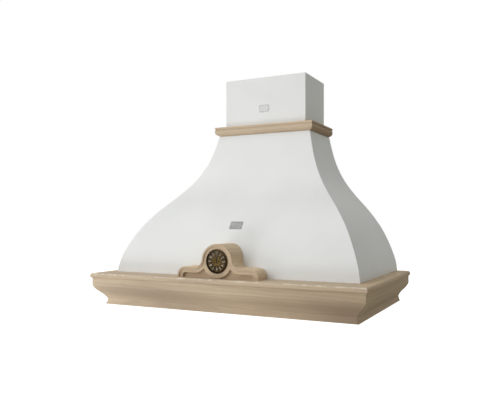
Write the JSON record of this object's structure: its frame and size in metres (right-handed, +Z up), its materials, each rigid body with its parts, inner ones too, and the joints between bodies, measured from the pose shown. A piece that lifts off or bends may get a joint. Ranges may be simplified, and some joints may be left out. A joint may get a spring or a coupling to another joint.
{
  "type": "wall-mounted cooker hood",
  "caption": "Rustic wall chimney cooker hood: white curved bell and chimney, moulded timber cornice shelf and neck ring, and a small timber mantel clock on the shelf.",
  "frame": {"origin": "on the wall plane, midway between the four wall-fixing holes of the back plate, 320 mm above the underside of the cornice", "axes": "+X to the viewer's right, +Y into the wall, +Z up"},
  "size_m": [0.9, 0.5, 0.745],
  "materials": {
    "timber": "bare sanded",
    "white_paint": "satin",
    "galvanised_steel": "zinc coated",
    "stainless_steel": "brushed",
    "zinc_steel": "bright",
    "black_plastic": "matt",
    "button_plastic": "gloss",
    "motor_aluminium": "die cast",
    "lamp_nickel": "satin nickel",
    "lamp_glass": "frosted",
    "aged_brass": "antiqued",
    "bronze_dial": "dark patina",
    "blackened_brass": "blackened",
    "clock_glass": "clear"
  },
  "bodies": {
    "hood": {"cornice_moulding_front": "timber", "cornice_moulding_left": "timber", "cornice_moulding_right": "timber", "shelf_board_front": "timber", "shelf_board_left": "timber", "shelf_board_right": "timber", "shelf_board_back": "timber", "cornice_back_rail": "timber", "glue_blocks": "timber", "neck_ring_front": "timber", "neck_ring_left": "timber", "neck_ring_right": "timber", "clock_case": "timber", "bell_front": "white_paint", "bell_left": "white_paint", "bell_right": "white_paint", "chimney_cover": "white_paint", "bell_back": "galvanised_steel", "neck_plate": "galvanised_steel", "blower_scroll": "galvanised_steel", "motor_bracket": "galvanised_steel", "duct_spigot": "galvanised_steel", "canopy_pan": "stainless_steel", "chimney_rivets": "zinc_steel", "neck_screws": "zinc_steel", "pan_screws": "zinc_steel", "bell_screws": "zinc_steel", "clock_screws": "zinc_steel", "flap_pin": "zinc_steel", "control_fascia": "black_plastic", "switch_box": "black_plastic", "junction_box": "black_plastic", "cable_gland": "black_plastic", "blower_motor": "motor_aluminium", "lamp_bodies": "lamp_nickel", "lamp_lenses": "lamp_glass"},
    "clock_insert": {"clock_housing": "aged_brass", "clock_dial": "bronze_dial", "clock_bezel": "aged_brass", "clock_glass": "clock_glass", "clock_movement": "black_plastic"},
    "minute": {"minute_hand": "blackened_brass"},
    "hour": {"hour_hand": "blackened_brass"},
    "fan": {"impeller": "galvanised_steel", "motor_shaft": "zinc_steel"},
    "front_flap": {"flap_front": "galvanised_steel"},
    "rear_flap": {"flap_rear": "galvanised_steel"},
    "left_filter": {"filter_left": "stainless_steel"},
    "right_filter": {"filter_right": "stainless_steel"},
    "left_latch": {"latch_left": "stainless_steel"},
    "right_latch": {"latch_right": "stainless_steel"},
    "chimney_upper": {"chimney_extension": "white_paint"},
    "button_1_body": {"button_1": "button_plastic"},
    "button_2_body": {"button_2": "button_plastic"},
    "button_3_body": {"button_3": "button_plastic"},
    "button_4_body": {"button_4": "button_plastic"},
    "button_5_body": {"button_5": "button_plastic"}
  },
  "joints": [
    {"name": "clock_insert_slide", "type": "slide", "parent": "hood", "child": "clock_insert", "axis": [0, -1, 0], "range_m": [0, 0.03]},
    {"name": "minute_hand_turn", "type": "hinge", "parent": "clock_insert", "child": "minute", "pos_m": [0, -0.473, -0.172], "axis": [0, 1, 0], "continuous": true},
    {"name": "hour_hand_turn", "type": "hinge", "parent": "clock_insert", "child": "hour", "pos_m": [0, -0.473, -0.172], "axis": [0, 1, 0], "continuous": true},
    {"name": "fan_spin", "type": "hinge", "parent": "hood", "child": "fan", "pos_m": [0, -0.168, -0.01], "axis": [1, 0, 0], "continuous": true},
    {"name": "front_flap_hinge", "type": "hinge", "parent": "hood", "child": "front_flap", "pos_m": [0, -0.0848, 0.25], "axis": [-1, 0, 0], "range_deg": [0, 75]},
    {"name": "rear_flap_hinge", "type": "hinge", "parent": "hood", "child": "rear_flap", "pos_m": [0, -0.0848, 0.25], "axis": [1, 0, 0], "range_deg": [0, 75]},
    {"name": "chimney_upper_slide", "type": "slide", "parent": "hood", "child": "chimney_upper", "axis": [0, 0, 1], "range_m": [0, 0.14]},
    {"name": "left_filter_hinge", "type": "hinge", "parent": "hood", "child": "left_filter", "pos_m": [-0.173, -0.0544, -0.2694], "axis": [1, 0, 0], "range_deg": [0, 60]},
    {"name": "left_latch_slide", "type": "slide", "parent": "left_filter", "child": "left_latch", "axis": [0, 1, 0], "range_m": [0, 0.008], "stiffness_N_per_m": 150, "springref_m": -0.002},
    {"name": "right_filter_hinge", "type": "hinge", "parent": "hood", "child": "right_filter", "pos_m": [0.173, -0.0544, -0.2694], "axis": [1, 0, 0], "range_deg": [0, 60]},
    {"name": "right_latch_slide", "type": "slide", "parent": "right_filter", "child": "right_latch", "axis": [0, 1, 0], "range_m": [0, 0.008], "stiffness_N_per_m": 150, "springref_m": -0.002},
    {"name": "button_1_press", "type": "slide", "parent": "hood", "child": "button_1_body", "axis": [0, 0, 1], "range_m": [0, 0.0025], "stiffness_N_per_m": 300, "springref_m": -0.001},
    {"name": "button_2_press", "type": "slide", "parent": "hood", "child": "button_2_body", "axis": [0, 0, 1], "range_m": [0, 0.0025], "stiffness_N_per_m": 300, "springref_m": -0.001},
    {"name": "button_3_press", "type": "slide", "parent": "hood", "child": "button_3_body", "axis": [0, 0, 1], "range_m": [0, 0.0025], "stiffness_N_per_m": 300, "springref_m": -0.001},
    {"name": "button_4_press", "type": "slide", "parent": "hood", "child": "button_4_body", "axis": [0, 0, 1], "range_m": [0, 0.0025], "stiffness_N_per_m": 300, "springref_m": -0.001},
    {"name": "button_5_press", "type": "slide", "parent": "hood", "child": "button_5_body", "axis": [0, 0, 1], "range_m": [0, 0.0025], "stiffness_N_per_m": 300, "springref_m": -0.001}
  ],
  "couplings": [
    {"joint": "hour_hand_turn", "follows": "minute_hand_turn", "ratio": 0.083333}
  ]
}
